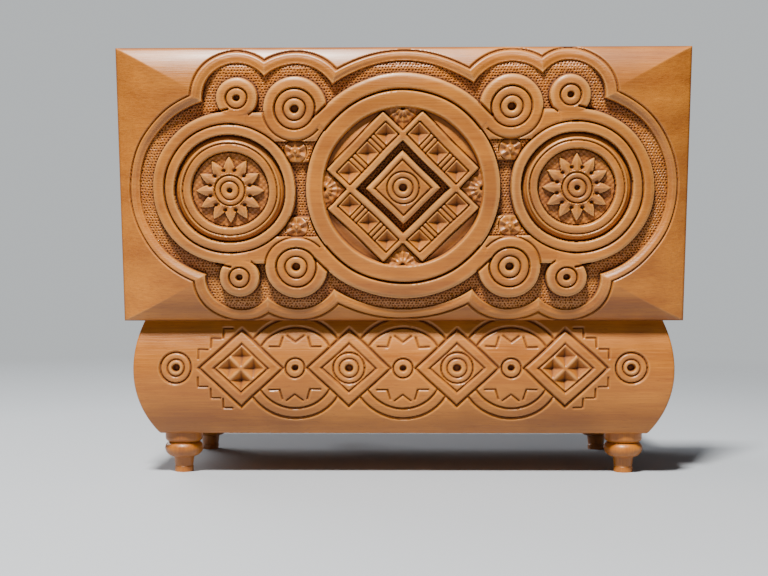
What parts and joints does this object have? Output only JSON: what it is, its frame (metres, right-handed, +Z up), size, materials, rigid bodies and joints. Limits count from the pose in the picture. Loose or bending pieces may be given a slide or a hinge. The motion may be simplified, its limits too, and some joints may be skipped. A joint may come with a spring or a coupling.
{
  "type": "hand crank music box",
  "caption": "Bombe carved wooden casket on turned feet, with a hinged carved lid, a lined tray and a covered hand-cranked cylinder and comb music movement.",
  "frame": {"origin": "on the ground under the middle of the casket, midway between the crank knob's end and the open lid's back", "axes": "+Z up, -Y to the front where the crank is, +X to the user's right along the casket's length"},
  "size_m": [0.256, 0.16, 0.1947],
  "materials": {
    "wood_honey": "satin oiled fruitwood",
    "felt": "matte felt",
    "glass_clear": "clear glass",
    "brass": "polished",
    "steel": "brushed",
    "iron": "painted casting",
    "wood_dark": "satin turned wood"
  },
  "bodies": {
    "case": {"back_board": "wood_honey", "bed_screw_back_left": "steel", "bed_screw_back_right": "steel", "bed_screw_front_left": "steel", "bed_screw_front_right": "steel", "bedplate": "iron", "body_leaf_left": "brass", "body_leaf_right": "brass", "body_leaf_screw_left_a": "brass", "body_leaf_screw_left_b": "brass", "body_leaf_screw_right_a": "brass", "body_leaf_screw_right_b": "brass", "bottom_panel": "wood_honey", "comb": "steel", "comb_block": "iron", "comb_screw_1": "steel", "comb_screw_2": "steel", "comb_screw_3": "steel", "cover": "glass_clear", "cover_screw_back_left": "brass", "cover_screw_back_right": "brass", "cover_screw_front_left": "brass", "cover_screw_front_right": "brass", "crank_bush": "brass", "divider": "wood_honey", "foot_back_left": "wood_honey", "foot_back_right": "wood_honey", "foot_front_left": "wood_honey", "foot_front_right": "wood_honey", "front_board": "wood_honey", "front_plate": "brass", "hinge_pin_left": "brass", "hinge_pin_right": "brass", "ledge_back": "wood_honey", "ledge_front": "wood_honey", "left_end_board": "wood_honey", "rear_plate": "brass", "right_end_board": "wood_honey", "tray_lining": "felt"},
    "lid": {"lid_panel": "wood_honey", "lid_lining": "felt", "lid_leaf_left": "brass", "lid_leaf_right": "brass", "lid_leaf_screw_left_a": "brass", "lid_leaf_screw_left_b": "brass", "lid_leaf_screw_right_a": "brass", "lid_leaf_screw_right_b": "brass"},
    "crank": {"crank_shaft": "steel", "crank_pinion": "steel", "crank_arm": "brass", "knob_pin": "steel"},
    "knob": {"crank_knob": "wood_dark"},
    "cylinder_unit": {"cylinder": "brass", "cylinder_arbor": "steel", "cylinder_wheel": "brass"}
  },
  "joints": [
    {"name": "lid_hinge", "type": "hinge", "parent": "case", "child": "lid", "pos_m": [0, 0.0545, 0.07985], "axis": [1, 0, 0], "range_deg": [0, 97.9]},
    {"name": "crank_turn", "type": "hinge", "parent": "case", "child": "crank", "pos_m": [0.0497, 0, 0.0503], "axis": [0, 1, 0], "continuous": true},
    {"name": "cylinder_turn", "type": "hinge", "parent": "case", "child": "cylinder_unit", "pos_m": [0.06425, 0, 0.0419], "axis": [0, 1, 0], "continuous": true},
    {"name": "knob_spin", "type": "hinge", "parent": "crank", "child": "knob", "pos_m": [0.0497, 0, 0.0283], "axis": [0, 1, 0], "continuous": true}
  ],
  "couplings": [
    {"joint": "cylinder_turn", "follows": "crank_turn", "ratio": -0.4}
  ]
}
